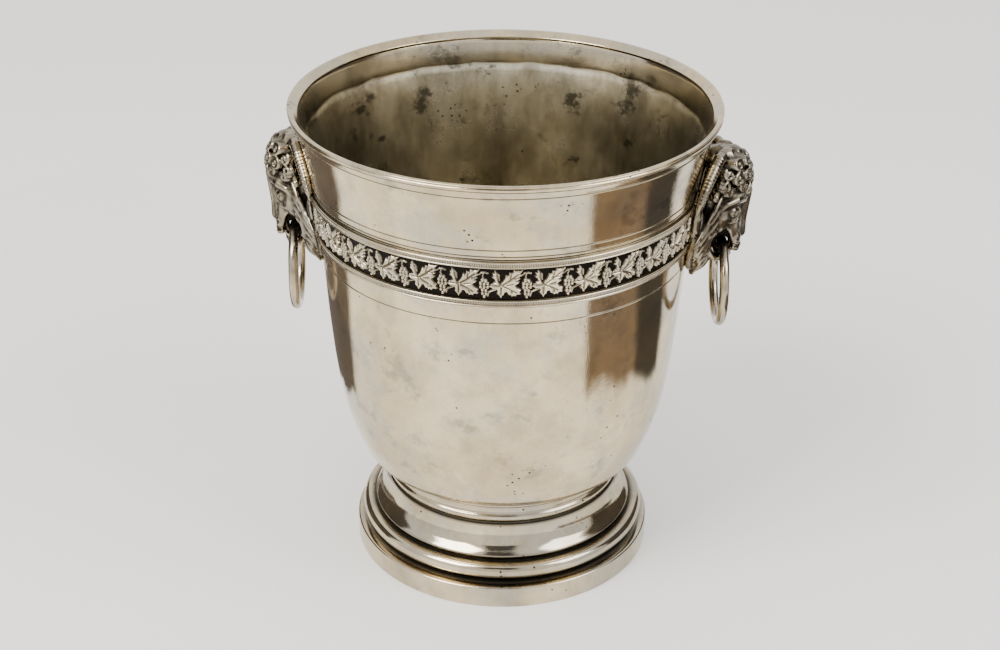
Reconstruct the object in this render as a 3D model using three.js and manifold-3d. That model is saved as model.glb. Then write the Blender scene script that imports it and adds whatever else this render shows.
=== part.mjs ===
// Silver champagne bucket: a raised bowl with a rolled lip, an applied vine frieze,
// a spun foot, and two cast ram masks that each hold a loose ring handle.
// Millimetres, +Z up. The origin is the centre of the foot, on the table.
// The masks stand on the +X and -X sides.
import * as THREE from 'three';
import { mergeVertices } from 'three/addons/utils/BufferGeometryUtils.js';
import Module from 'manifold-3d';

const wasm = await Module();
wasm.setup();

// ---- driving dimensions ----------------------------------------------------

const height = 230;
const lipRadius = 99.4;
const footRadius = 73;
const sheet = 1.5;              // thickness of the bowl's wall
const footSheet = 1.3;          // thickness of the spun foot
const joint = 0.3;              // solder gap left between touching pieces
const turns = 48;               // facets round every turned piece

const bowlBase = 49.5;          // underside of the bowl
const lipSeat = 226.6;          // top edge of the bowl's wall, under the rim wire
const creaseHeight = 214.5;     // where the wall starts to flare inside
const creaseRadius = 92.4;

const friezeBottom = 169.2;
const friezeTop = 191.7;
const borderHeight = 3.2;
const friezeThickness = 0.9;
const borderThickness = 1.7;
const friezeEnd = 24;           // half-width left bare for each mask

const collarTop = 49.2;
const collarBottom = 36.9;
const collarRadius = 57.8;
const domeEdgeRadius = 63.8;
const domeEdge = 22.3;
const shellRadius = 62.3;       // the foot's inner wall, behind the moulding
const mouldingRadius = 70.1;
const mouldingHeight = 16.8;    // middle of the half-round moulding
const bandHeight = 10.7;
const bandThickness = 2.2;

const maskStandoff = 1.1;       // the +X mask stands this much prouder, the other this much less
const ringPivotRadius = 100.8;
const ringPivotHeight = 164.2;
const ringRadius = 20.2;        // centre line of the ring handle
const ringWire = 2.35;          // radius of its wire
const mouthRadius = 4.5;        // radius of the hole through the jaw

const studHeight = 197;         // where the mask's fixing stud leaves the wall
const studRadius = 2;
const studTilt = 0.113;         // the wall leans out by this angle there, in radians
const washerRadius = 5;
const washerThickness = 1;
const nutRadius = 4.2;          // across the corners
const nutHeight = 3;

const brightSilver = material(0xb9b2a4, 0.24);
const dullSilver = material(0x9c9587, 0.42);
const darkSilver = material(0x6f675a, 0.5);
const brass = material(0xa98a4e, 0.45);

function material(color, roughness) {
  return new THREE.MeshStandardMaterial({ color, roughness, metalness: 1 });
}

// ---- outlines, as [radius, height] -------------------------------------------

// The outside of the bowl, from the edge of its flat base up to the lip.
const bowlOutside = new THREE.SplineCurve([
  new THREE.Vector2(60.5, 50.3),
  new THREE.Vector2(67.6, 54.2),
  new THREE.Vector2(70.4, 59.8),
  new THREE.Vector2(74.2, 69),
  new THREE.Vector2(78, 82.8),
  new THREE.Vector2(81.3, 103.5),
  new THREE.Vector2(84.1, 131),
  new THREE.Vector2(86.3, 161),
  new THREE.Vector2(90.5, 198),
  new THREE.Vector2(95.6, 221),
  new THREE.Vector2(97.6, lipSeat),
]).getPoints(60);

// The outside radius of the bowl at a height, read from its outline.
function wallRadius(z) {
  const upper = bowlOutside.findIndex((point) => point.y >= z);
  const above = bowlOutside[upper];
  const below = bowlOutside[upper - 1];
  return THREE.MathUtils.mapLinear(z, below.y, above.y, below.x, above.x);
}

// Points up the wall from one height to another, moved out by a distance.
function wallLine(from, to, out, steps) {
  return Array.from({ length: steps + 1 }, (_, step) => {
    const z = THREE.MathUtils.lerp(from, to, step / steps);
    return [wallRadius(z) + out, z];
  });
}

// An arc of [radius, height] points about a centre, with angles in degrees.
function arc(centreRadius, centreHeight, radius, from, to, steps) {
  return Array.from({ length: steps + 1 }, (_, step) => {
    const angle = THREE.MathUtils.degToRad(THREE.MathUtils.lerp(from, to, step / steps));
    return [centreRadius + radius * Math.cos(angle), centreHeight + radius * Math.sin(angle)];
  });
}

// ---- solids --------------------------------------------------------------------

// A closed geometry as a solid that can be joined and cut.
function solid(geometry) {
  const bare = geometry.clone();
  bare.deleteAttribute('normal');
  bare.deleteAttribute('uv');
  const merged = mergeVertices(bare, 1e-4);
  return new wasm.Manifold(new wasm.Mesh({
    numProp: 3,
    vertProperties: merged.attributes.position.array,
    triVerts: new Uint32Array(merged.index.array),
  }));
}

function geometryOf(body) {
  const mesh = body.getMesh();
  const geometry = new THREE.BufferGeometry();
  geometry.setAttribute('position', new THREE.BufferAttribute(mesh.vertProperties, 3));
  geometry.setIndex(new THREE.BufferAttribute(mesh.triVerts, 1));
  geometry.computeVertexNormals();
  return geometry;
}

// A profile turned about the Z axis. The profile runs anticlockwise, with +Z up.
// A ring's profile closes on itself.
function turned(profile, isRing = false) {
  const points = profile.map(([radius, z]) => new THREE.Vector2(radius, z));
  if (isRing) points.push(points[0].clone());
  return new THREE.LatheGeometry(points, turns).rotateX(Math.PI / 2);
}

function turnedRing(profile) {
  return turned(profile, true);
}

function ellipsoid([x, y, z], [rx, ry, rz]) {
  return solid(new THREE.SphereGeometry(1, 10, 8).scale(rx, ry, rz).translate(x, y, z));
}

function boxBetween(low, high) {
  const size = high.map((value, axis) => value - low[axis]);
  const middle = high.map((value, axis) => (value + low[axis]) / 2);
  return solid(new THREE.BoxGeometry(...size).translate(...middle));
}

// ---- bowl and rim ----------------------------------------------------------------

function bowl() {
  const floor = bowlBase + sheet;
  const outside = [[0, bowlBase], [56, bowlBase], [60.5, 50.3], ...wallLine(51.8, lipSeat, 0, 13)];
  const inside = [
    [94.8, lipSeat],
    [creaseRadius, creaseHeight],
    ...wallLine(205, 66, -sheet, 7),
    [66.6, 56.6],
    [60.2, 52.2],
    [54, floor],
    [0, floor],
  ];
  const wall = solid(turned([...outside, ...inside]));
  return geometryOf(wall.subtract(studHole(1)).subtract(studHole(-1)));
}

// The clearance hole for one mask's stud; side is 1 for +X and -1 for -X.
function studHole(side) {
  const hole = new THREE.CylinderGeometry(studRadius + joint, studRadius + joint, 12, 16);
  return solid(alongStud(hole, 0, side));
}

// Lays a piece made along +Y on a mask's stud line, centred a distance outside the wall.
function alongStud(geometry, out, side) {
  geometry.rotateZ(-Math.PI / 2).translate(out, 0, 0).rotateY(studTilt);
  geometry.translate(wallRadius(studHeight) - sheet / 2, 0, studHeight);
  if (side < 0) geometry.rotateZ(Math.PI);
  return geometry;
}

// The rolled wire round the lip: a cone inside, a round top and two beads outside.
function rimWire() {
  return turnedRing([
    [95, lipSeat + joint],
    [98.3, lipSeat + joint],
    [98.9, 227.4],
    [99.3, 228.2],
    [98.9, 229],
    ...arc(lipRadius - 0.7, height - 0.7, 0.7, -45, 90, 3),
    [97.3, height - 0.2],
    [94.8, 227.6],
  ]);
}

// ---- frieze ------------------------------------------------------------------------

// A band on the wall between two heights; side is -1 for the front half, 1 for the back.
function halfBand(bottom, top, thickness, side) {
  const back = wallLine(bottom, top, joint, 2);
  const front = wallLine(bottom, top, joint + thickness, 2);
  const ring = solid(turnedRing([...front, ...back.reverse()]));
  const reach = lipRadius + 10;
  const half = side < 0
    ? boxBetween([-reach, -reach, 0], [reach, -friezeEnd, height])
    : boxBetween([-reach, friezeEnd, 0], [reach, reach, height]);
  return geometryOf(ring.intersect(half));
}

function friezeStrip(side) {
  const edge = borderHeight + joint;
  return halfBand(friezeBottom + edge, friezeTop - edge, friezeThickness, side);
}

function upperBorder(side) {
  return halfBand(friezeTop - borderHeight, friezeTop, borderThickness, side);
}

function lowerBorder(side) {
  return halfBand(friezeBottom, friezeBottom + borderHeight, borderThickness, side);
}

// ---- neck and foot -------------------------------------------------------------------

// The turned collar between bowl and foot: a bead, a hollow and a lower bead.
function neckCollar() {
  return turnedRing([
    [52, collarBottom + joint],
    [56.2, collarBottom + joint],
    [56.6, 38.6],
    ...arc(56.2, 41, 1.5, -60, 60, 3),
    [56.2, 44.4],
    ...arc(56.2, 47.6, 1.6, -60, 80, 4),
    [52, collarTop],
  ]);
}

// The foot's spun shell: the dome under the collar, tucked in behind the moulding.
function footShell() {
  const bottom = bandHeight + joint;
  const outside = [
    [shellRadius, bottom],
    [shellRadius, 20.9],
    [domeEdgeRadius, domeEdge - 0.6],
    [domeEdgeRadius, domeEdge],
    [62.4, 23.8],
    [60.2, 26.2],
    [58.6, 29.4],
    [57.6, 33],
    [57.3, collarBottom],
  ];
  const inside = [
    [51, collarBottom],
    [51, collarBottom - footSheet],
    [56, collarBottom - footSheet],
    [57.2, 29],
    [59, 25.4],
    [shellRadius - footSheet, 22.4],
    [shellRadius - footSheet, bottom],
  ];
  return turnedRing([...outside, ...inside]);
}

// The half-round moulding soldered round the foot.
function footMoulding() {
  const back = shellRadius + joint;
  return turnedRing([
    [back, 12.9],
    [66, 12.5],
    ...arc(mouldingRadius - 4, mouldingHeight, 4, -75, 90, 8),
    [65, 20.4],
    [back, 20.2],
  ]);
}

// The upright band that stands on the table, with a shelf that carries the foot.
function footBand() {
  const inner = footRadius - bandThickness;
  const shelf = bandHeight - 1.4;
  return turnedRing([
    [inner, 0],
    [footRadius, 0],
    [footRadius, bandHeight - 0.5],
    [footRadius - 0.5, bandHeight],
    [60.4, bandHeight],
    [60.4, shelf],
    [inner, shelf],
  ]);
}

// ---- ram masks, made facing +X ----------------------------------------------------------

// Both sides of the face carry the same form.
function paired([x, y, z], radii) {
  return [ellipsoid([x, y, z], radii), ellipsoid([x, -y, z], radii)];
}

function horn(side) {
  const curl = new THREE.CatmullRomCurve3([
    new THREE.Vector3(97, side * 7, 208.5),
    new THREE.Vector3(95, side * 15, 206),
    new THREE.Vector3(90.6, side * 22.5, 199.5),
    new THREE.Vector3(87.8, side * 27.5, 193),
  ]);
  const section = new THREE.Shape().absarc(0, 0, 2.7, 0, 2 * Math.PI);
  const options = { steps: 6, curveSegments: 3, bevelEnabled: false, extrudePath: curl };
  return solid(new THREE.ExtrudeGeometry(section, options));
}

// The mouth is a slot right through the jaw, tall enough for the ring to move in.
function mouth() {
  const top = new THREE.CylinderGeometry(mouthRadius, mouthRadius, 70, 16);
  const low = top.clone().translate(ringPivotRadius, 0, ringPivotHeight);
  top.translate(ringPivotRadius - 1.4, 0, ringPivotHeight + 5.4);
  return solid(low).add(solid(top));
}

// Everything the mask is fitted over: the wall, and the ends of the frieze.
function wallBehindMask() {
  const wall = [[0, 130], ...wallLine(130, 226, joint, 12), [0, 226]];
  const low = friezeBottom - joint;
  const high = friezeTop + joint;
  const frieze = [[0, low], ...wallLine(low, high, borderThickness + 2 * joint, 4), [0, high]];
  const reach = lipRadius + 10;
  const bareWidth = friezeEnd - joint;
  const bare = boxBetween([-reach, -bareWidth, 0], [reach, bareWidth, height]);
  return solid(turned(wall)).add(solid(turned(frieze)).subtract(bare));
}

function ramMask(side) {
  const forms = [
    ellipsoid([97, 0, 188], [13.5, 12, 22]),          // skull
    ellipsoid([104.4, 0, 199.2], [10, 12, 9.5]),      // forelock
    ellipsoid([97, 0, 206.5], [9, 12, 7.5]),          // crown
    ellipsoid([101, 0, 169.6], [9.6, 8, 12.2]),       // muzzle
    ...paired([103, 6.5, 186.5], [6.5, 5.5, 4.5]),    // brows
    ...paired([96, 9, 178.5], [7, 5.5, 8.5]),         // cheeks
    ...paired([87, 17, 181], [7, 12, 15]),            // mane beside the cheeks
    ...paired([87, 10, 166], [6.5, 10, 16]),          // mane under the jaw
    horn(1),
    horn(-1),
  ];
  const head = forms.reduce((whole, form) => whole.add(form));
  const shifted = geometryOf(head.subtract(mouth())).translate(side * maskStandoff, 0, 0);
  const blindHole = new THREE.CylinderGeometry(studRadius + joint, studRadius + joint, 20, 16);
  const seated = solid(shifted)
    .subtract(wallBehindMask())
    .subtract(solid(alongStud(blindHole, 0, 1)));
  const geometry = geometryOf(seated);
  if (side < 0) geometry.rotateZ(Math.PI);
  return geometry;
}

// ---- ring handles and the masks' fixings ------------------------------------------------

// A ring of round wire hanging straight down from the middle of the mask's mouth.
function ringHandle(side) {
  const ring = new THREE.TorusGeometry(ringRadius, ringWire, 8, 40).rotateY(Math.PI / 2);
  const pivot = ringPivotRadius + side * maskStandoff;
  return ring.translate(side * pivot, 0, ringPivotHeight - ringRadius);
}

function maskStud(side) {
  const length = 15;
  const stud = new THREE.CylinderGeometry(studRadius, studRadius, length, 16);
  return alongStud(stud, 9 - length / 2, side);
}

// A flat ring, or a six-sided nut, with a hole for the stud.
function pierced(outerRadius, sides, thickness) {
  const outline = new THREE.Shape().absarc(0, 0, outerRadius, 0, 2 * Math.PI);
  const corners = outline.getPoints(sides / 2).slice(0, sides);
  const plate = new THREE.Shape(corners);
  const hole = new THREE.Path().absarc(0, 0, studRadius + joint, 0, 2 * Math.PI);
  plate.holes.push(hole);
  const options = { depth: thickness, bevelEnabled: false, curveSegments: 8 };
  return new THREE.ExtrudeGeometry(plate, options)
    .translate(0, 0, -thickness / 2)
    .rotateX(-Math.PI / 2);
}

function maskWasher(side) {
  const inward = sheet / 2 + washerThickness / 2 + joint;
  return alongStud(pierced(washerRadius, 20, washerThickness), -inward, side);
}

function maskNut(side) {
  const inward = sheet / 2 + washerThickness + nutHeight / 2 + 2 * joint;
  return alongStud(pierced(nutRadius, 6, nutHeight), -inward, side);
}

// ---- the bucket ---------------------------------------------------------------------------

const bucket = new THREE.Group();

function add(name, geometry, finish) {
  const mesh = new THREE.Mesh(geometry, finish);
  mesh.name = name;
  bucket.add(mesh);
}

add('bowl', bowl(), brightSilver);
add('rim_wire', rimWire(), brightSilver);
for (const [half, side] of [['front', -1], ['back', 1]]) {
  add(`frieze_strip_${half}`, friezeStrip(side), darkSilver);
  add(`frieze_upper_border_${half}`, upperBorder(side), dullSilver);
  add(`frieze_lower_border_${half}`, lowerBorder(side), dullSilver);
}
add('neck_collar', neckCollar(), brightSilver);
add('foot_shell', footShell(), brightSilver);
add('foot_moulding', footMoulding(), brightSilver);
add('foot_band', footBand(), brightSilver);
for (const [hand, side] of [['right', 1], ['left', -1]]) {
  add(`ram_mask_${hand}`, ramMask(side), dullSilver);
  add(`ring_handle_${hand}`, ringHandle(side), brightSilver);
  add(`mask_stud_${hand}`, maskStud(side), brass);
  add(`mask_washer_${hand}`, maskWasher(side), brass);
  add(`mask_nut_${hand}`, maskNut(side), brass);
}

export default bucket;
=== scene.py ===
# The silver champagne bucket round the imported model: fine turned metal, a vine frieze
# in relief, chased ram masks and ring handles. The pieces are given in millimetres and
# the stage in metres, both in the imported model's frame.
import math

import bpy
import numpy as np
import openvdb as vdb
from mathutils import Matrix, Vector, noise


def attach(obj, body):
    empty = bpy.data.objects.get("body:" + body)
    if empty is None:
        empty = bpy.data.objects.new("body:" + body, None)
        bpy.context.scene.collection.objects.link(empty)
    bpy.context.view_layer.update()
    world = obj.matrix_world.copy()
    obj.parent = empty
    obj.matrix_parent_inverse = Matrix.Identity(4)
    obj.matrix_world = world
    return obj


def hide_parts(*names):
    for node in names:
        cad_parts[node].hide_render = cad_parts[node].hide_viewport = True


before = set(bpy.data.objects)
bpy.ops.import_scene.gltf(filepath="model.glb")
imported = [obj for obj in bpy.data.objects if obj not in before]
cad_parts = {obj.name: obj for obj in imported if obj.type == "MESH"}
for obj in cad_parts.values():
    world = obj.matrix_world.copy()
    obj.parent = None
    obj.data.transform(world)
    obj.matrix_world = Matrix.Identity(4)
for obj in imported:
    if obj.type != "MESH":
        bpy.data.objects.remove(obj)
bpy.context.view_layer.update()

MM = 0.001

# ---- camera ----------------------------------------------

CAMERA_AZIMUTH = math.radians(3.87)      # swung from the front towards the +X mask
CAMERA_DISTANCE = 0.7884                 # from the bucket's axis, along the floor
CAMERA_HEIGHT = 0.5313
CAMERA_PITCH = math.radians(27.89)
CAMERA_ROLL = math.radians(0.45)
CAMERA_TURN = math.radians(0.13)
LENS = 66.24


def make_camera():
    data = bpy.data.cameras.new("camera")
    data.lens = LENS
    data.sensor_width = 36
    data.clip_start = 0.01
    camera = bpy.data.objects.new("camera", data)
    bpy.context.collection.objects.link(camera)
    heading = CAMERA_AZIMUTH + CAMERA_TURN
    level = Vector((-math.sin(heading), math.cos(heading), 0))
    side = Vector((math.cos(heading), math.sin(heading), 0))
    forward = level * math.cos(CAMERA_PITCH) - Vector((0, 0, math.sin(CAMERA_PITCH)))
    upward = side.cross(forward)
    right = side * math.cos(CAMERA_ROLL) + upward * math.sin(CAMERA_ROLL)
    above = upward * math.cos(CAMERA_ROLL) - side * math.sin(CAMERA_ROLL)
    place = Vector((
        CAMERA_DISTANCE * math.sin(CAMERA_AZIMUTH),
        -CAMERA_DISTANCE * math.cos(CAMERA_AZIMUTH),
        CAMERA_HEIGHT))
    axes = Matrix((right, above, -forward)).transposed().to_4x4()
    camera.matrix_world = Matrix.Translation(place) @ axes
    bpy.context.scene.camera = camera


make_camera()

# ---- stage -----------------------------------------------


def plain_material(name, color):
    material = bpy.data.materials.new(name)
    material.use_nodes = True
    shader = material.node_tree.nodes["Principled BSDF"]
    shader.inputs["Base Color"].default_value = (*color, 1)
    shader.inputs["Roughness"].default_value = 0.8
    return material


def make_floor():
    data = bpy.data.meshes.new("floor")
    corners = [(x * 6, y * 6, 0) for x, y in ((-1, -1), (1, -1), (1, 1), (-1, 1))]
    data.from_pydata(corners, [], [(0, 1, 2, 3)])
    floor = bpy.data.objects.new("floor", data)
    bpy.context.collection.objects.link(floor)
    data.materials.append(plain_material("pale_floor", (0.90, 0.895, 0.88)))


def make_world():
    world = bpy.data.worlds.new("studio")
    world.use_nodes = True
    sky = world.node_tree.nodes["Background"]
    sky.inputs["Color"].default_value = (1, 0.98, 0.95, 1)
    sky.inputs["Strength"].default_value = 1.35
    bpy.context.scene.world = world


LIGHT_TARGET = (0, 0, 0.1)


def area_light(name, place, size, power, color):
    """A rectangular softbox that faces the bucket."""
    data = bpy.data.lights.new(name, "AREA")
    data.shape = "RECTANGLE"
    data.size, data.size_y = size
    data.energy = power
    data.color = color
    light = bpy.data.objects.new(name, data)
    bpy.context.collection.objects.link(light)
    light.location = place
    aim = Vector(LIGHT_TARGET) - Vector(place)
    light.rotation_euler = aim.to_track_quat("-Z", "Y").to_euler()


def floor_flag(name, start, end, near, far, color):
    """A dark matt board on the floor that only shows as a reflection in the silver.

    It fills the sector from start to end, in degrees round from the front towards +X.
    """
    steps = 40
    verts, faces = [], []
    for step in range(steps + 1):
        angle = math.radians(start + (end - start) * step / steps)
        # the near edge is a little uneven, as torn paper is
        frayed = near + 0.006 * math.sin(angle * 13) + 0.003 * math.sin(angle * 53)
        for reach in (frayed, far):
            verts.append((reach * math.sin(angle), -reach * math.cos(angle), 0.001))
        if step:
            faces.append((2 * step - 2, 2 * step, 2 * step + 1, 2 * step - 1))
    reflected_only(name, verts, faces, color)


def upright_flag(name, middle, width, height, turn, color):
    """A dark board that stands square to the floor, turned in degrees about it."""
    aside = Vector((math.cos(math.radians(turn)), math.sin(math.radians(turn)), 0)) * width / 2
    up = Vector((0, 0, height / 2))
    middle = Vector(middle)
    verts = [middle - aside - up, middle + aside - up, middle + aside + up, middle - aside + up]
    reflected_only(name, verts, [(0, 1, 2, 3)], color)


def reflected_only(name, verts, faces, color):
    """A matt board of the stage that neither the camera nor the floor sees."""
    data = bpy.data.meshes.new(name)
    data.from_pydata(verts, [], faces)
    flag = bpy.data.objects.new(name, data)
    bpy.context.collection.objects.link(flag)
    data.materials.append(plain_material(name, color))
    flag.visible_camera = False
    flag.visible_diffuse = False
    flag.visible_shadow = False


make_floor()
make_world()
floor_flag("brown_flag", 51, 87, 0.217, 0.55, (0.15, 0.108, 0.075))
floor_flag("black_flag_right", 87, 113, 0.205, 0.55, (0.030, 0.025, 0.022))
floor_flag("grey_flag_left", -145, -101, 0.176, 0.55, (0.085, 0.07, 0.06))
for word, side in (("right", 1), ("left", -1)):
    place = (side * 0.62, 0.42, 0.26)
    upright_flag("side_flag_" + word, place, 0.9, 0.52, 90, (0.06, 0.05, 0.04))
upright_flag("front_flag", (0.05, -1.15, 1.35), 0.70, 1.10, 0, (0.045, 0.045, 0.05))
area_light("key_softbox", (-0.9, -0.9, 1.5), (0.9, 0.9), 34, (1, 0.97, 0.92))
area_light("fill_softbox", (1.2, -0.5, 1.2), (0.8, 0.8), 12, (1, 1, 1))

# ---- outlines --------------------------------------------

LIP_SEAT = 226.6
WALL = 1.5
BOWL_OUTSIDE = [
    (60.5, 50.3), (67.6, 54.2), (70.4, 59.8), (74.2, 69), (78, 82.8), (81.3, 103.5),
    (84.1, 131), (86.3, 161), (90.5, 198), (95.6, 221), (97.6, LIP_SEAT),
]


def curve_through(points, per_span):
    """Points on a Catmull-Rom curve through the given ones."""
    ring = [points[0], *points, points[-1]]
    out = []
    for a, b, c, d in zip(ring, ring[1:], ring[2:], ring[3:]):
        for step in range(per_span):
            t = step / per_span
            out.append(tuple(
                0.5 * (2 * q + (r - p) * t + (2 * p - 5 * q + 4 * r - s) * t * t
                       + (3 * q - p - 3 * r + s) * t ** 3)
                for p, q, r, s in zip(a, b, c, d)))
    out.append(tuple(points[-1]))
    return out


WALL_CURVE = np.array(curve_through(BOWL_OUTSIDE, 12))


def wall_radius(z):
    """Outside radius of the bowl at a height."""
    return np.interp(z, WALL_CURVE[:, 1], WALL_CURVE[:, 0])


# ---- mesh helpers ----------------------------------------


def add_mesh(name, verts, faces, attributes=None, sharp=None):
    """A mesh object from arrays of vertices, in millimetres, and of quads."""
    data = bpy.data.meshes.new(name)
    verts = np.asarray(verts, np.float32) * MM
    faces = np.asarray(faces, np.int32)
    data.vertices.add(len(verts))
    data.vertices.foreach_set("co", verts.ravel())
    data.loops.add(faces.size)
    data.loops.foreach_set("vertex_index", faces.ravel())
    data.polygons.add(len(faces))
    starts = np.arange(len(faces), dtype=np.int32) * faces.shape[1]
    data.polygons.foreach_set("loop_start", starts)
    data.update(calc_edges=True)
    data.polygons.foreach_set("use_smooth", np.ones(len(data.polygons), bool))
    for key, values in (attributes or {}).items():
        layer = data.attributes.new(key, "FLOAT", "POINT")
        layer.data.foreach_set("value", np.asarray(values, np.float32).ravel())
    if sharp:
        data.set_sharp_from_angle(angle=math.radians(sharp))
    piece = bpy.data.objects.new(name, data)
    bpy.context.collection.objects.link(piece)
    return piece


def grid_faces(rows, columns, close_rows, close_columns):
    """Quads over a grid of rows by columns of vertices, closed round either way."""
    i = np.arange(rows if close_rows else rows - 1)[:, None]
    j = np.arange(columns if close_columns else columns - 1)[None, :]
    here, there = i * columns, ((i + 1) % rows) * columns
    right = (j + 1) % columns
    return np.stack([here + j, there + j, there + right, here + right], -1).reshape(-1, 4)


def revolve(profile, segments, closed=True):
    """Vertices and quads of a profile of (radius, height) turned about the axis."""
    profile = np.asarray(profile, float)
    angles = np.linspace(0, 2 * np.pi, segments, endpoint=False)
    x = np.cos(angles)[:, None] * profile[:, 0]
    y = np.sin(angles)[:, None] * profile[:, 0]
    z = np.broadcast_to(profile[:, 1], x.shape)
    verts = np.stack([x, y, z], -1).reshape(-1, 3)
    return verts, grid_faces(segments, len(profile), True, closed)


def rounded(points, steps=5):
    """An outline with its corners rounded. Each point is (radius, height, fillet)."""
    out = []
    count = len(points)
    for index, (x, z, fillet) in enumerate(points):
        here = Vector((x, z))
        if not fillet:
            out.append((x, z))
            continue
        before = Vector(points[index - 1][:2]) - here
        after = Vector(points[(index + 1) % count][:2]) - here
        reach = min(fillet, before.length * 0.49, after.length * 0.49)
        start = here + before.normalized() * reach
        end = here + after.normalized() * reach
        for step in range(steps + 1):
            t = step / steps
            spot = start * (1 - t) ** 2 + here * 2 * t * (1 - t) + end * t * t
            out.append((spot.x, spot.y))
    return out


def subdivided(outline, longest):
    """The closed outline with its long spans cut into steps no longer than given."""
    out = []
    for (x0, z0), (x1, z1) in zip(outline, outline[1:] + outline[:1]):
        steps = max(1, math.ceil(math.hypot(x1 - x0, z1 - z0) / longest))
        out += [(x0 + (x1 - x0) * k / steps, z0 + (z1 - z0) * k / steps)
                for k in range(steps)]
    return out


def wavering(verts, size, wavelength, seed):
    """The vertices pushed in and out by size, the unevenness of hand-worked metal."""
    shift = Vector((seed * 17.3, seed * 5.1, seed * 9.7))
    out = verts.copy()
    for index, (x, y, z) in enumerate(verts):
        spot = Vector((x, y, z)) / wavelength + shift
        radius = math.hypot(x, y) or 1
        push = noise.noise(spot) * size
        out[index, 0] += x / radius * push
        out[index, 1] += y / radius * push
    return out


# ---- materials -------------------------------------------

# the near black that tarnish and painted shade darken the metal towards
NEAR_BLACK = (0.012, 0.010, 0.008, 1)


class Nodes:
    """Short calls for building a material's node tree."""

    def __init__(self, name):
        self.material = bpy.data.materials.new(name)
        self.material.use_nodes = True
        self.tree = self.material.node_tree
        self.shader = self.tree.nodes["Principled BSDF"]

    def add(self, kind, **values):
        node = self.tree.nodes.new(kind)
        for key, value in values.items():
            if key in node.inputs:
                node.inputs[key].default_value = value
            else:
                setattr(node, key, value)
        return node

    def feed(self, socket, value):
        """Links an output to a socket, or sets the socket to a constant."""
        if isinstance(value, bpy.types.NodeSocket):
            self.tree.links.new(value, socket)
        else:
            socket.default_value = value

    def stretched(self, scale):
        """Object coordinates multiplied by a scale along each axis."""
        place = self.add("ShaderNodeTexCoord")
        mapping = self.add("ShaderNodeMapping", Scale=scale)
        self.feed(mapping.inputs["Vector"], place.outputs["Object"])
        return mapping.outputs["Vector"]

    def cloud(self, scale, detail, roughness):
        node = self.add("ShaderNodeTexNoise", Scale=1, Detail=detail, Roughness=roughness)
        self.feed(node.inputs["Vector"], self.stretched(scale))
        return node.outputs["Fac"]

    def ramp(self, value, low, high, from_value=0.0, to_value=1.0):
        """The value remapped from low..high to from_value..to_value, and clamped."""
        limits = {"From Min": low, "From Max": high, "To Min": from_value, "To Max": to_value}
        node = self.add("ShaderNodeMapRange", **limits)
        self.feed(node.inputs["Value"], value)
        return node.outputs["Result"]

    def math(self, operation, a, b):
        node = self.add("ShaderNodeMath", operation=operation)
        self.feed(node.inputs[0], a)
        self.feed(node.inputs[1], b)
        return node.outputs["Value"]

    def blend(self, factor, first, second):
        """A mix of two colours, each an output or a constant."""
        node = self.add("ShaderNodeMix", data_type="RGBA")
        for name, value in (("Factor", factor), ("A", first), ("B", second)):
            self.feed(node.inputs[name], value)
        return node.outputs["Result"]

    def attribute(self, name):
        return self.add("ShaderNodeAttribute", attribute_name=name).outputs["Fac"]

    def bump(self, height, strength, distance, under=None):
        node = self.add("ShaderNodeBump", Strength=strength, Distance=distance)
        self.feed(node.inputs["Height"], height)
        if under:
            self.feed(node.inputs["Normal"], under)
        return node.outputs["Normal"]


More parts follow.
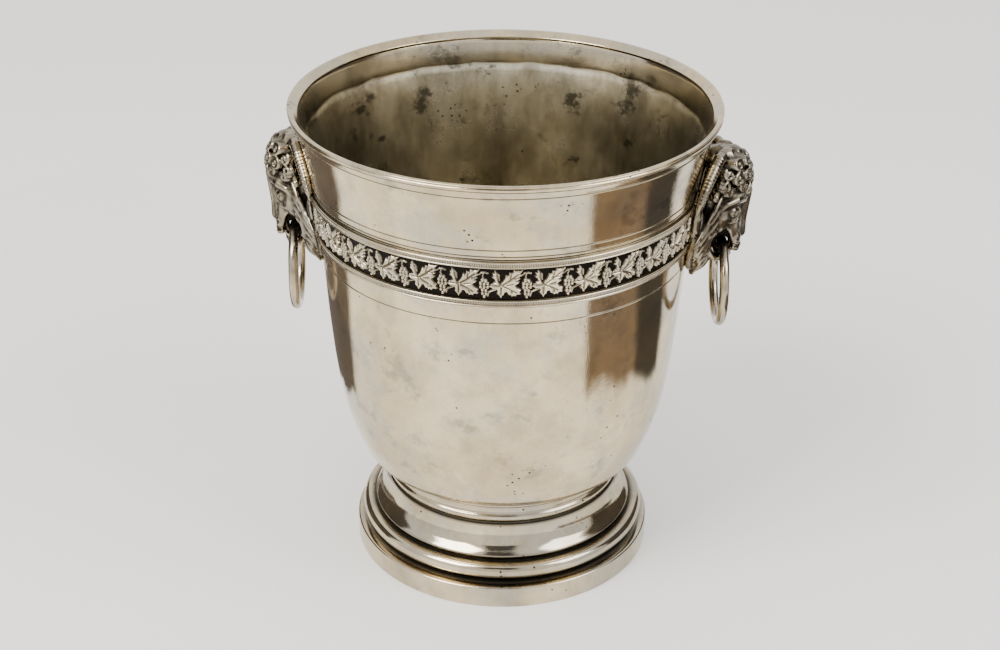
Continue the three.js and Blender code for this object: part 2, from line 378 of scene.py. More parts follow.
def silver(name, bright, warm, gloss, wear=1.0, inside=None):
    """Worn silver plate. Bright and warm are the two tones it wanders between.

    Inside holds the two tones and the added roughness where the bowl was never polished.
    """
    n = Nodes(name)
    clouds = n.ramp(n.cloud((26, 26, 20), 7, 0.65), 0.38, 0.66)
    tone = n.blend(clouds, (*bright, 1), (*warm, 1))
    smears = n.ramp(n.cloud((62, 62, 55), 7, 0.72), 0.47, 0.62)
    tone = n.blend(n.math("MULTIPLY", smears, 0.42 * wear), tone, (0.33, 0.28, 0.21, 1))
    bloom = n.ramp(n.cloud((24, 24, 30), 8, 0.74), 0.47, 0.59)
    tone = n.blend(n.math("MULTIPLY", bloom, 0.42 * wear), tone, (0.40, 0.405, 0.39, 1))
    roughness = n.ramp(n.cloud((45, 45, 45), 5, 0.6), 0.4, 0.8, gloss, gloss + 0.10 * wear)
    if inside:
        pale, dull, rougher = inside
        deep = n.attribute("inside")
        unpolished = n.blend(n.ramp(n.cloud((38, 38, 17), 6, 0.65), 0.38, 0.62),
                             (*pale, 1), (*dull, 1))
        tone = n.blend(deep, tone, unpolished)
        stains = n.ramp(n.cloud((50, 50, 60), 6, 0.7), 0.57, 0.64)
        shown = n.ramp(deep, 0, 1, 0.30, 0.80)
        tone = n.blend(n.math("MULTIPLY", stains, shown), tone, (0.05, 0.045, 0.035, 1))
        roughness = n.math("ADD", roughness, n.math("MULTIPLY", deep, rougher))
    # pits: small dark specks, scattered unevenly
    cells = n.add("ShaderNodeTexVoronoi", Scale=1)
    n.feed(cells.inputs["Vector"], n.stretched((330, 330, 330)))
    specks = n.ramp(cells.outputs["Distance"], 0.13, 0.24, 1.0, 0.0)
    chosen = n.ramp(n.cloud((42, 42, 42), 3, 0.6), 0.60, 0.65)
    pits = n.math("MULTIPLY", n.math("MULTIPLY", specks, chosen), wear)
    # the attribute read here darkens the metal towards near black: tarnish in the cut lines, and
    # painted shade in grooves, hollows, mouths and where pieces meet; the pits join it
    dirt_and_shade = n.math("MAXIMUM", n.attribute("dirt_and_shade"), pits)
    n.feed(n.shader.inputs["Base Color"], n.blend(dirt_and_shade, tone, NEAR_BLACK))
    roughness = n.math("MAXIMUM", roughness, n.math("MULTIPLY", dirt_and_shade, 0.55))
    n.feed(n.shader.inputs["Roughness"], roughness)
    n.shader.inputs["Metallic"].default_value = 1
    # fine scratches up and down and across
    scratches = n.math("ADD", n.cloud((1500, 1500, 120), 3, 0.7), n.cloud((160, 900, 1700), 3, 0.7))
    normal = n.bump(scratches, 0.05 * wear, 0.0004)
    normal = n.bump(pits, -0.35, 0.0004, normal)
    n.feed(n.shader.inputs["Normal"], normal)
    return n.material


BOWL_SILVER = silver("bowl_silver", (0.73, 0.61, 0.40), (0.52, 0.42, 0.26), 0.055,
                     inside=((0.70, 0.655, 0.53), (0.33, 0.30, 0.23), 0.16))
FOOT_SILVER = silver("foot_silver", (0.63, 0.54, 0.385), (0.34, 0.28, 0.185), 0.06)
FRIEZE_SILVER = silver("frieze_silver", (0.72, 0.63, 0.47), (0.46, 0.385, 0.27), 0.15, 0.7)
MASK_SILVER = silver("mask_silver", (0.40, 0.345, 0.255), (0.085, 0.068, 0.045), 0.12, 0.5)
RING_SILVER = silver("ring_silver", (0.56, 0.48, 0.36), (0.25, 0.20, 0.13), 0.10)
FIXING_BRASS = silver("fixing_brass", (0.66, 0.48, 0.22), (0.50, 0.35, 0.15), 0.22)


def finished(piece, material, body, node):
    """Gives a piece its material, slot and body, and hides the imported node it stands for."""
    piece.data.materials.append(material)
    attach(piece, body)
    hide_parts(node)


# ---- bowl and rim ----------------------------------------

UNDERSIDE = 49.5
FLOOR = 51.0
WALL_FOOT = 50.3
CREASE_RADIUS = 92.4
CREASE_HEIGHT = 214.5
LIP_INSIDE = (94.6, 226.3)
THINNING = 0.3               # the wall thins by this much from 200 up to the crease
BOWL_SEGMENTS = 300
# heights of the lines cut round the wall
ENGRAVED = (223.1, 196.9, 193.7, 192.1, 168.6, 160.1)
LINE_WIDTH = 0.35
LINE_DEPTH = 0.28


def engraved_wall():
    """The outer wall from the base to the lip, with its cut lines, as (r, z, tarnish in the cut
    lines).
    """
    heights = list(np.arange(WALL_FOOT, LIP_SEAT, 2.0)) + [LIP_SEAT]
    for line in ENGRAVED:
        heights = [z for z in heights if abs(z - line) > 0.8]
        heights += [line + step * LINE_WIDTH for step in (-1.8, -1.1, -0.6, 0, 0.6, 1.1, 1.8)]
    out = []
    for z in sorted(heights):
        near = min(abs(z - line) for line in ENGRAVED) / LINE_WIDTH
        cut = max(0.0, 1 - near)
        out.append((float(wall_radius(z)) - LINE_DEPTH * cut, z, cut))
    return out


def knocked(verts, angle, height, lean, half_length, half_width, depth):
    """An oval dent in the wall, its length leaning from the level by lean degrees."""
    radius = np.hypot(verts[:, 0], verts[:, 1])
    round_by = (np.arctan2(verts[:, 1], verts[:, 0]) - angle) * radius
    up = verts[:, 2] - height
    c, s = math.cos(math.radians(lean)), math.sin(math.radians(lean))
    oval = ((round_by * c + up * s) / half_length) ** 2
    oval += ((up * c - round_by * s) / half_width) ** 2
    push = 1 - depth * np.exp(-oval) / np.maximum(radius, 1)
    out = verts.copy()
    out[:, :2] *= push[:, None]
    return out


def make_bowl():
    """The bowl as one turned sheet, its profile held as (radius, height, darkening)."""
    outer = [(r, UNDERSIDE, 0) for r in (0.01, 30, 57)] + engraved_wall()
    lip = [(96.6, 226.9, 0), (95.0, 226.9, 0), (*LIP_INSIDE, 0)]
    # the flare inside the lip is darkened a little all round
    flare = [(CREASE_RADIUS + (LIP_INSIDE[0] - CREASE_RADIUS) * t ** 1.4,
              CREASE_HEIGHT + (LIP_INSIDE[1] - CREASE_HEIGHT) * t, 0.3)
             for t in (0.85, 0.7, 0.55, 0.4, 0.27, 0.15, 0.06, 0)]
    below = []
    for z in np.arange(CREASE_HEIGHT - 1, 66, -2.5):
        thinner = THINNING * max(0, z - 200) / (CREASE_HEIGHT - 200)
        below.append((float(wall_radius(z)) - WALL - thinner, z, 0))
    heel = curve_through([(70.5, 65), (66.6, 57.6), (60.2, 52.6), (53, FLOOR), (40, FLOOR)], 5)
    base = [(r, z, 0) for r, z in heel] + [(20, FLOOR, 0), (0.01, FLOOR, 0)]
    profile = outer + lip + flare + below + base
    inside = [0.0] * (len(outer) + len(lip)) + [0.55] * len(flare)
    inside += [1.0] * (len(below) + len(base))
    verts, faces = revolve([(r, z) for r, z, _ in profile], BOWL_SEGMENTS, closed=False)
    verts = wavering(verts, 0.28, 46, 1)
    verts = wavering(verts, 0.05, 14, 2)
    # the crease inside runs up and down a little
    crease = np.exp(-((verts[:, 2] - CREASE_HEIGHT) / 3.0) ** 2)
    around = np.arctan2(verts[:, 1], verts[:, 0])
    wobble = np.array([noise.noise(Vector((math.cos(a) * 7, math.sin(a) * 7, 3))) for a in around])
    is_inside = np.tile(np.array(inside) > 0, BOWL_SEGMENTS)
    verts[:, 2] += np.where(is_inside, crease * wobble * 1.6, 0)
    verts = knocked(verts, angle=math.radians(-76), height=206, lean=30,
                    half_length=5.8, half_width=2.6, depth=0.5)
    attributes = {"dirt_and_shade": np.tile([dirt_and_shade for _, _, dirt_and_shade in profile], BOWL_SEGMENTS),
                  "inside": np.tile(inside, BOWL_SEGMENTS)}
    return add_mesh("bowl_body", verts, faces, attributes)


TURNED_SEGMENTS = 256
TURNED_WAVER = 0.15


def turned_piece(name, points, dark, spacing=1.2):
    """A turned ring. Dark holds (radius, height, reach) spots of painted shade, in the grooves and
    where the ring meets the next piece.
    """
    outline = subdivided(rounded(points), spacing)
    verts, faces = revolve(outline, TURNED_SEGMENTS)
    dirt_and_shade = [max([0.0] + [1 - math.hypot(r - dr, z - dz) / reach for dr, dz, reach in dark])
            for r, z in outline]
    verts = wavering(verts, TURNED_WAVER, 24, len(name))
    verts = wavering(verts, TURNED_WAVER * 0.2, 8, len(name) + 5)
    return add_mesh(name, verts, faces, {"dirt_and_shade": np.tile(dirt_and_shade, TURNED_SEGMENTS)}, sharp=50)


def make_rim():
    return turned_piece("rim_moulding", [
        (94.6, 226.2, 0.2), (97.3, 226.2, 0.1), (98.35, 226.7, 0.2), (98.5, 227.0, 0.1),
        (99.15, 227.5, 0.5), (99.3, 228.4, 0.5), (98.75, 229.0, 0.1), (99.4, 229.25, 0.3),
        (99.25, 229.95, 0.4), (97.4, 230.0, 0.6), (94.4, 227.5, 0.4)],
        dark=[(98.5, 226.9, 0.5), (98.7, 229.05, 0.45)])


finished(make_bowl(), BOWL_SILVER, "bucket", "bowl")
finished(make_rim(), BOWL_SILVER, "bucket", "rim_wire")

# ---- neck and foot ---------------------------------------


def make_collar():
    return turned_piece("neck_moulding", [
        (50, 36.6, 0), (56.6, 36.6, 0.2), (56.4, 37.6, 0.3), (57.6, 39.0, 0.9), (57.7, 40.8, 0.9),
        (56.6, 41.9, 0.3), (56.0, 43.6, 1.0), (56.3, 45.6, 0.4), (57.4, 46.3, 0.4),
        (57.5, 47.3, 0.4), (56.9, 47.7, 0.2), (57.8, 48.3, 0.4), (57.9, 49.3, 0.4),
        (56, 49.7, 0.2), (50, 49.7, 0)],
        dark=[(56.4, 37.2, 1.2), (56.9, 47.7, 0.5), (57.9, 49.6, 0.6)], spacing=0.5)


def make_foot_shell():
    dome = curve_through([(57.3, 36.8), (57.5, 33.4), (58.5, 29.6), (60.4, 26.2),
                          (62.7, 23.8), (63.5, 22.9)], 6)
    outer = [(61.8, 10.9, 0), (61.8, 20.4, 0), (63.2, 21.6, 0.2), (63.8, 22.3, 0.3)]
    outer += [(r, z, 0) for r, z in reversed(dome)]
    inner = [(50.5, 37, 0), (50.5, 35.7, 0), (56, 35.6, 0.5), (57.2, 29, 2), (59.4, 25, 2),
             (60.5, 22.4, 1), (60.5, 10.9, 0)]
    return turned_piece("foot_dome", outer + inner,
                        dark=[(57.2, 36.8, 1.9), (63.0, 21.4, 2.2)], spacing=0.5)


TORUS_MIDDLE = (66.1, 16.8)
TORUS_RADIUS = 4.0


def make_foot_moulding():
    arc = [(TORUS_MIDDLE[0] + TORUS_RADIUS * math.cos(a),
            TORUS_MIDDLE[1] + TORUS_RADIUS * math.sin(a), 0)
           for a in np.radians(np.linspace(-80, 95, 22))]
    return turned_piece("foot_torus", [(62, 12.6, 0), (66, 12.4, 0.2), *arc,
                                       (64.6, 20.6, 0.3), (62, 20.4, 0)],
                        dark=[(64.2, 20.9, 2.6), (66.8, 12.6, 2.4)], spacing=0.5)


def make_foot_band():
    return turned_piece("foot_edge", [
        (70.8, 0, 0.2), (73, 0, 0.5), (73, 10.2, 0.7), (72.3, 10.75, 0.4), (69.5, 10.9, 0.3),
        (66.5, 11.6, 0.5), (61, 11.4, 0), (60.4, 9.4, 0.2), (70.8, 9.4, 0.5)],
        dark=[(67.5, 11.4, 4.0)], spacing=0.6)


for maker, node in ((make_collar, "neck_collar"), (make_foot_shell, "foot_shell"),
                    (make_foot_moulding, "foot_moulding"), (make_foot_band, "foot_band")):
    finished(maker(), FOOT_SILVER, "bucket", node)


# ---- vine frieze -----------------------------------------

FRIEZE_LOW = 169.2
FRIEZE_HIGH = 191.7
BORDER_HEIGHT = 3.2
BORDER_RADIUS = 89.0
FRIEZE_RADIUS = 89.6
FRIEZE_END = 24.0            # the strips stop this far short of the sides, hidden by the masks
END_ANGLE = math.asin(FRIEZE_END / float(wall_radius(180)))
STRIP_GAP = 0.25             # between the strip and either border
LEAF_PITCH = math.radians(11.8)
FIRST_LEAF = math.radians(-87.0)
NODE_HEIGHT = 179.9          # where the veins of a leaf meet
GROUND_THICKNESS = 0.35
RELIEF = 1.35
STRIP_COLUMNS = 1180
STRIP_ROWS = 78

# one vine leaf round the spot where its veins meet, in millimetres
LEAF_OUTLINE = [
    (-0.4, 1.4), (-0.3, 5.0), (-1.4, 6.3), (-2.7, 7.7), (-2.9, 6.4), (-3.9, 6.1), (-3.3, 5.2),
    (-4.2, 4.4), (-3.0, 3.4), (-2.4, 2.0), (-3.4, 1.6), (-3.6, 0.9), (-4.6, 0.8), (-4.5, 0.1),
    (-5.6, -0.3), (-4.3, -0.9), (-3.6, -1.6), (-2.2, -1.6), (-1.5, -2.4), (-2.0, -3.4),
    (-1.2, -4.6), (-0.7, -5.2), (0.0, -6.5), (0.7, -5.2), (1.5, -4.4), (1.8, -3.4),
    (2.5, -3.1), (3.2, -4.6), (4.2, -4.7), (4.6, -5.5), (5.6, -5.0), (6.5, -5.4), (6.9, -4.6),
    (9.2, -4.2), (8.4, -3.2), (9.0, -1.8), (7.3, -1.0), (6.4, 0.3), (7.3, 0.9), (8.2, 1.8),
    (7.0, 2.4), (8.6, 3.4), (7.6, 4.0), (9.0, 5.2), (8.3, 5.8), (9.6, 8.0), (7.2, 7.7),
    (5.3, 8.0), (5.0, 6.4), (3.6, 6.6), (3.3, 5.2), (2.1, 5.4), (1.6, 4.2), (0.9, 2.6),
]
LEAF_VEINS = [
    [(0.2, 0.2), (-1.0, 2.4), (-1.5, 5.4)], [(0.2, 0.2), (3.4, 2.4), (7.2, 5.7)],
    [(0.2, 0.2), (3.0, -1.1), (6.6, -3.3)], [(0.2, 0.2), (0.1, -2.2), (0.0, -4.4)],
    [(0.2, 0.2), (-1.4, 0.3), (-3.6, 0.2)], [(2.6, 0.3), (5.3, 0.9)], [(4.0, 3.3), (4.4, 5.6)],
    [(5.0, 4.0), (7.2, 3.6)], [(4.4, -2.0), (5.0, -3.9)],
]
STEM = [(-1.6, -1.6), (-3.2, -2.3), (-5.2, -3.2), (-5.6, -5.2)]
TENDRIL = [(-9.6, 5.2), (-8.4, 6.2), (-6.9, 6.4), (-5.6, 6.0)]
BUNCH_STALK = [(-7.4, 6.3), (-7.9, 4.4), (-7.2, 2.4)]
BUNCH_TOP = (-7.2, 2.5)
GRAPES_IN_ROWS = (2, 3, 3, 2, 2, 1)
GRAPE_PITCH = (1.55, 1.62)
GRAPE_SIZE = (0.78, 0.98)


def outline_distance(x, z, outline):
    """Signed distance to a closed outline, negative inside."""
    nearest = np.full(x.shape, 1e9)
    inside = np.zeros(x.shape, bool)
    for (x0, z0), (x1, z1) in zip(outline, outline[1:] + outline[:1]):
        nearest = np.minimum(nearest, span_distance(x, z, (x0, z0), (x1, z1)))
        if z0 != z1:
            crosses = (z0 > z) != (z1 > z)
            inside ^= crosses & (x < (x1 - x0) * (z - z0) / (z1 - z0) + x0)
    return np.where(inside, -nearest, nearest)


def span_distance(x, z, start, end):
    dx, dz = end[0] - start[0], end[1] - start[1]
    t = ((x - start[0]) * dx + (z - start[1]) * dz) / (dx * dx + dz * dz)
    t = np.clip(t, 0, 1)
    return np.hypot(x - start[0] - dx * t, z - start[1] - dz * t)


def line_distance(x, z, points):
    return np.min([span_distance(x, z, a, b) for a, b in zip(points, points[1:])], axis=0)


def ridge(distance, half_width):
    """A half-round ridge of the given half width, one high in the middle."""
    return np.sqrt(np.clip(1 - (distance / half_width) ** 2, 0, 1))


def leaf_relief(x, z):
    """Height of one leaf, its stem, tendril and grapes, from 0 on the ground to 1."""
    body = outline_distance(x, z, LEAF_OUTLINE)
    # the blade rounds up from its edge and swells between the cut veins
    height = np.clip(-body / 0.8, 0, 1) ** 0.6 * 0.78
    veins = np.min([line_distance(x, z, vein) / (0.36 + 0.1 * (index < 3))
                    for index, vein in enumerate(LEAF_VEINS)], axis=0)
    height -= np.clip(1 - veins, 0, 1) * 0.75 * (height > 0)
    height += 0.12 * np.clip(veins - 1, 0, 2.4) * (height > 0.3)
    for points, half_width, top in ((STEM, 0.42, 0.6), (TENDRIL, 0.38, 0.55),
                                    (BUNCH_STALK, 0.34, 0.55)):
        height = np.maximum(height, ridge(line_distance(x, z, points), half_width) * top)
    for row, count in enumerate(GRAPES_IN_ROWS):
        for grape in range(count):
            across = (grape - (count - 1) / 2) * GRAPE_PITCH[0] + BUNCH_TOP[0]
            down = BUNCH_TOP[1] - row * GRAPE_PITCH[1] - 0.25 * (grape % 2)
            distance = np.hypot((x - across) / GRAPE_SIZE[0], (z - down) / GRAPE_SIZE[1])
            height = np.maximum(height, ridge(distance, 1.0) * 0.85)
    return np.clip(height, 0, 1.05)


def half_round(side, count):
    """Angles from one end of the front or back half of the frieze to the other."""
    return np.linspace(END_ANGLE, np.pi - END_ANGLE, count) + (np.pi if side == "front" else 0)


def frieze_strip(side):
    """One half of the frieze: the ground and its relief, standing out from the wall."""
    angles = half_round(side, STRIP_COLUMNS)
    heights = np.linspace(FRIEZE_LOW + BORDER_HEIGHT + STRIP_GAP,
                          FRIEZE_HIGH - BORDER_HEIGHT - STRIP_GAP, STRIP_ROWS)
    angle, z = np.meshgrid(angles, heights, indexing="ij")
    turn = (angle - (FIRST_LEAF + 2 * np.pi)) / LEAF_PITCH
    width = LEAF_PITCH * FRIEZE_RADIUS
    x = (turn - np.round(turn)) * width
    up = z - NODE_HEIGHT
    height = np.maximum(leaf_relief(x, up), leaf_relief(x - width, up))
    height = np.maximum(height, leaf_relief(x + width, up))
    wall = wall_radius(z)
    face = wall + GROUND_THICKNESS + RELIEF * height
    edge = (z == heights[0]) | (z == heights[-1])
    edge |= (angle == angles[0]) | (angle == angles[-1])
    face = np.where(edge, wall + 0.02, face)
    # tarnish and painted shade fill the ground, and lie thinner on the flanks of the relief
    dirt_and_shade = np.clip(1 - height / 0.42, 0, 1)
    dirt_and_shade = np.where(height > 0.42, np.clip((0.76 - height) / 0.34, 0, 1) * 0.75, dirt_and_shade)
    verts = np.stack([face * np.cos(angle), face * np.sin(angle), z], -1).reshape(-1, 3)
    faces = grid_faces(STRIP_COLUMNS, STRIP_ROWS, False, False)
    strip = add_mesh("vine_frieze_" + side, verts, faces, {"dirt_and_shade": dirt_and_shade})
    finished(strip, FRIEZE_SILVER, "bucket", "frieze_strip_" + side)


TICK_PITCH = 0.72
TICK_DEPTH = 0.38
GROOVE = 1.0                 # how far out the bottoms of the grooves beside the ticks lie
GROOVE_DARKENING = {"lower": 0.8, "upper": 0.0}      # the upper grooves are not darkened
# one border as (out from the wall, up, whether the ticks are cut there)
BORDER_OUTLINE = [
    (0.0, 0.0, 0), (1.15, 0.0, 0), (1.65, 0.25, 0), (1.7, 0.6, 0), (1.2, 0.85, 0),
    (GROOVE, 0.95, 1), (1.25, 1.15, 1), (1.3, 1.6, 1), (1.25, 2.05, 1), (GROOVE, 2.3, 1),
    (1.15, 2.4, 0), (1.6, 2.6, 0), (1.6, 2.95, 0), (1.1, 3.2, 0), (0.0, 3.2, 0),
]


def frieze_border(side, name, low):
    """A half border: a row of milled ticks between two beads. The upper one is inverted."""
    count = int((np.pi - 2 * END_ANGLE) * BORDER_RADIUS / TICK_PITCH) * 4
    angles = half_round(side, count + 1)[:, None]
    outline = BORDER_OUTLINE
    if name == "upper":
        outline = [(out, BORDER_HEIGHT - up, milled) for out, up, milled in reversed(outline)]
    out, up, milled = (np.array(column, float) for column in zip(*outline))
    tick = (np.arange(count + 1) % 4 < 2)[:, None]
    cut = np.where((milled > 0) & tick, TICK_DEPTH, 0.0)
    radius = wall_radius(low + up) + np.maximum(out - cut, 0.02)
    verts = np.stack([radius * np.cos(angles), radius * np.sin(angles),
                      np.broadcast_to(low + up, radius.shape)], -1).reshape(-1, 3)
    # the rows against the wall take painted shade, and the milled ticks and the lower grooves are
    # darkened
    at_wall = (out == 0) * 1.0
    in_groove = (out == GROOVE) * GROOVE_DARKENING[name]
    dirt_and_shade = np.maximum(cut / TICK_DEPTH * 0.85, np.maximum(in_groove, at_wall))
    faces = grid_faces(count + 1, len(outline), False, True)
    border = add_mesh(f"frieze_{name}_bead_{side}", verts, faces, {"dirt_and_shade": dirt_and_shade})
    finished(border, FRIEZE_SILVER, "bucket", f"frieze_{name}_border_{side}")


for side in ("front", "back"):
    frieze_strip(side)
    frieze_border(side, "lower", FRIEZE_LOW)
    frieze_border(side, "upper", FRIEZE_HIGH - BORDER_HEIGHT)


# ---- ram masks -------------------------------------------

VOXEL = 0.43
OVERLAP = 3                  # how many layers of the grid lie past the middle plane
FAR = 6.0                    # the distance that an empty grid starts with
MASK_STANDOFF = 1.1          # the right mask stands out by this much and the left in
PIVOT = (100.8, 164.2)       # radius and height of the ring's bearing in the mouth
RING_RADIUS = 20.2
RING_WIRE = 2.35
SWING = (-28, 152)           # degrees, inward and outward, that the mask leaves free
MOUTH_RADIUS = 4.4
MOUTH_SLOT = (-1.4, 5.0)     # the mouth's far end, out and up from the bearing
MOUTH_SHADE = (-0.7, 2.6)     # the middle of the painted shadow in the mouth, from the bearing
MOUTH_SHADE_REACH = 5.4
TONGUE = 2.5                 # half the width of the web left in the mouth above the wire
WALL_GAP = 0.12
FRIEZE_STANDS_OUT = 1.8


class Clay:
    """Half a mask as a distance field on a grid; x is out, y aside and z up."""

    def __init__(self):
        self.low = np.array([83.0, -OVERLAP * VOXEL, 148.0])
        self.high = np.array([117.0, 33.0, 215.0])
        axes = [np.arange(a, b, VOXEL) for a, b in zip(self.low, self.high)]
        self.x, self.y, self.z = np.meshgrid(*axes, indexing="ij")
        self.field = np.full(self.x.shape, FAR)

    def block(self, points, margin):
        """The part of the grid round the given points."""
        points = np.atleast_2d(points)
        start = (points.min(0) - margin - self.low) / VOXEL
        end = (points.max(0) + margin - self.low) / VOXEL
        start = np.clip(start, 0, self.x.shape).astype(int)
        end = np.clip(end + 1, 0, self.x.shape).astype(int)
        return tuple(slice(a, b) for a, b in zip(start, end))

    def join(self, block, distance, soft):
        """Adds a shape, blended over the distance given by soft."""
        old = self.field[block]
        if soft:
            mix = np.clip(0.5 + 0.5 * (old - distance) / soft, 0, 1)
            self.field[block] = old * (1 - mix) + distance * mix - soft * mix * (1 - mix)
        else:
            self.field[block] = np.minimum(old, distance)

    def cut(self, block, distance, soft):
        """Takes a shape away."""
        old = self.field[block]
        mix = np.clip(0.5 - 0.5 * (old + distance) / soft, 0, 1)
        self.field[block] = old * (1 - mix) - distance * mix + soft * mix * (1 - mix)

    def egg_distance(self, block, centre, radii, lean):
        """Roughly the distance to an ellipsoid that leans back by an angle."""
        x = self.x[block] - centre[0]
        y = self.y[block] - centre[1]
        z = self.z[block] - centre[2]
        turned_x = x * math.cos(lean) + z * math.sin(lean)
        turned_z = z * math.cos(lean) - x * math.sin(lean)
        scaled = np.sqrt((turned_x / radii[0]) ** 2 + (y / radii[1]) ** 2
                         + (turned_z / radii[2]) ** 2)
        return (scaled - 1) * min(radii)

    def egg(self, centre, radii, soft, lean=0.0):
        block = self.block(centre, max(radii) + 5)
        self.join(block, self.egg_distance(block, centre, radii, lean), soft)

    def dent(self, centre, radii, soft):
        block = self.block(centre, max(radii) + 3)
        self.cut(block, self.egg_distance(block, centre, radii, 0), soft)

    def rod_distance(self, block, points, radii):
        """Distance to a bent rod whose radius changes from point to point."""
        nearest = np.full(self.x[block].shape, 99.0)
        for (a, ra), (b, rb) in zip(zip(points, radii), zip(points[1:], radii[1:])):
            a, b = np.array(a, float), np.array(b, float)
            along = b - a
            dx, dy, dz = self.x[block] - a[0], self.y[block] - a[1], self.z[block] - a[2]
            t = np.clip((dx * along[0] + dy * along[1] + dz * along[2]) / (along @ along), 0, 1)
            away = np.sqrt((dx - along[0] * t) ** 2 + (dy - along[1] * t) ** 2
                           + (dz - along[2] * t) ** 2)
            nearest = np.minimum(nearest, away - (ra + (rb - ra) * t))
        return nearest

    def rod(self, points, radii, soft):
        block = self.block(points, max(radii) + 2)
        self.join(block, self.rod_distance(block, points, radii), soft)

    def score(self, points, radii, soft):
        """Cuts a groove along the points."""
        block = self.block(points, max(radii) + 2)
        self.cut(block, self.rod_distance(block, points, radii), soft)

    def curl(self, centre, outward, size, turns, start):
        """A spiral lock of wool lying on the surface that faces outward."""
        outward, aside, up = surface_axes(outward)
        points, radii = [], []
        steps = 14
        for step in range(steps + 1):
            t = step / steps
            angle = start + t * turns * 2 * math.pi
            reach = size * (1 - 0.72 * t)
            spot = (Vector(centre) + aside * math.cos(angle) * reach
                    + up * math.sin(angle) * reach + outward * size * 0.35 * t)
            points.append(tuple(spot))
            radii.append(size * (0.34 - 0.08 * t))
        self.rod(points, radii, 0.25)

    def loop(self, centre, outward, size, thickness):
        """A raised ring lying on the surface that faces outward, such as an eyelid."""
        _, aside, up = surface_axes(outward)
        points = [tuple(Vector(centre) + (aside * math.cos(a) + up * math.sin(a)) * size)
                  for a in np.linspace(0, 2 * np.pi, 15)]
        self.rod(points, [thickness] * len(points), 0.3)


def surface_axes(outward):
    """The direction outward from a surface, and two directions that lie in it."""
    outward = Vector(outward).normalized()
    aside = outward.cross(Vector((0, 0, 1))).normalized()
    return outward, aside, aside.cross(outward)


def sculpt_head():
    """Half of the ram's head, in the bucket's own millimetres, facing +X."""
    clay = Clay()
    sculpt_face(clay)
    sculpt_horn(clay)
    sculpt_wool(clay)
    sculpt_mane(clay)
    return clay


def sculpt_face(clay):
    # the skull, the long nose, the cheeks and the jaw
    clay.egg((95, 0, 188), (14.0, 13.5, 21), 3)
    clay.egg((101.5, 0, 181), (8.8, 6.6, 15), 3, lean=-0.08)
    clay.egg((103.2, 0, 170.5), (6.8, 7.2, 9.5), 3)
    clay.egg((98, 0, 160.6), (8.0, 6.8, 4.2), 2)
    clay.egg((97, 10.5, 180.5), (6.5, 5.5, 8), 3)
    clay.egg((91, 13, 172), (6, 7, 11), 3)
    clay.egg((86, 10, 163), (4.0, 7, 10), 3)
    clay.egg((87, 17, 184), (4.5, 9, 12), 3)
    clay.egg((100, 0, 205), (9.5, 11, 6.5), 3)
    # brow, eye socket, eye, lids and the bag below
    clay.egg((104.0, 5.6, 189.0), (6.0, 4.6, 3.0), 1.8, lean=0.3)
    clay.rod([(110.0, 1.4, 187.6), (109.0, 5.0, 187.6), (106.0, 9.4, 188.4), (101.5, 12.6, 187.4),
              (98.0, 14.4, 184.6)], [1.4, 1.9, 2.1, 1.8, 1.0], 0.8)
    clay.dent((106.4, 9.8, 182.8), (4.4, 3.8, 3.4), 1.2)
    clay.egg((103.8, 9.0, 182.7), (3.4, 3.4, 3.1), 0.2)
    clay.loop((104.9, 10.0, 182.7), (0.62, 0.78, 0.05), 3.5, 0.8)
    clay.score([(105.8, 11.2, 182.9), (107.0, 12.2, 182.9)], [0.75, 0.75], 0.2)
    clay.rod([(107.2, 6.6, 178.8), (105.2, 9.6, 177.6), (101.8, 12.0, 177.8), (99.2, 13.4, 180.2)],
             [0.8, 1.3, 1.4, 0.7], 0.7)
    # bridge of the nose, folds of the cheek and nostrils
    clay.rod([(111.2, 0, 190), (110.4, 0, 183), (109.6, 0, 176), (109.2, 0, 169)],
             [2.4, 2.3, 2.2, 2.6], 1.4)
    clay.score([(109.2, 4.9, 183.4), (108.6, 5.2, 177), (108.4, 5.6, 171.5)],
               [0.9, 1.1, 0.6], 1.2)
    clay.score([(105.2, 9.6, 175.6), (104.8, 9.2, 172.6)], [0.8, 0.6], 0.9)
    clay.egg((106.6, 3.8, 166.6), (3.0, 2.9, 3.0), 0.9)
    clay.score([(108.2, 5.8, 167.4), (109.2, 4.0, 166.2)], [0.8, 0.7], 0.4)
    clay.score([(110.6, 0, 167.5), (109.9, 0, 163.6)], [0.5, 0.5], 0.6)
    # lips: the upper overhangs the ring and the lower cups it
    clay.rod([(108.6, 0, 162.6), (107.4, 4.6, 162.2), (104.6, 7.2, 163.4)], [1.5, 1.5, 1.2], 0.8)
    clay.rod([(104.2, 0, 157.6), (102, 5.2, 157.4), (97.5, 8.2, 158.4), (94.4, 8.8, 161.6)],
             [1.5, 1.6, 1.6, 1.4], 0.7)


def sculpt_horn(clay):
    """A ribbed horn from the crown, aside and down to the wall."""
    horn = [(98.5, 6.5, 209.0), (96.6, 11.5, 208.6), (94.4, 16.4, 206.0), (92.2, 20.8, 202.2),
            (90.2, 24.6, 198.0), (88.6, 27.6, 193.2), (87.4, 28.6, 189.6)]
    thickness = [2.6, 3.0, 3.0, 2.8, 2.5, 2.0, 1.2]
    clay.rod(horn, thickness, 0.8)
    ribs = 21
    for rib in range(1, ribs):
        t = rib / ribs * (len(horn) - 1)
        a, b = np.array(horn[int(t)]), np.array(horn[min(int(t) + 1, len(horn) - 1)])
        spot = a + (b - a) * (t - int(t))
        along = (b - a) / np.linalg.norm(b - a)
        radius = float(np.interp(t, range(len(horn)), thickness))
        groove_round(clay, spot, along, radius + 0.2, 0.48)


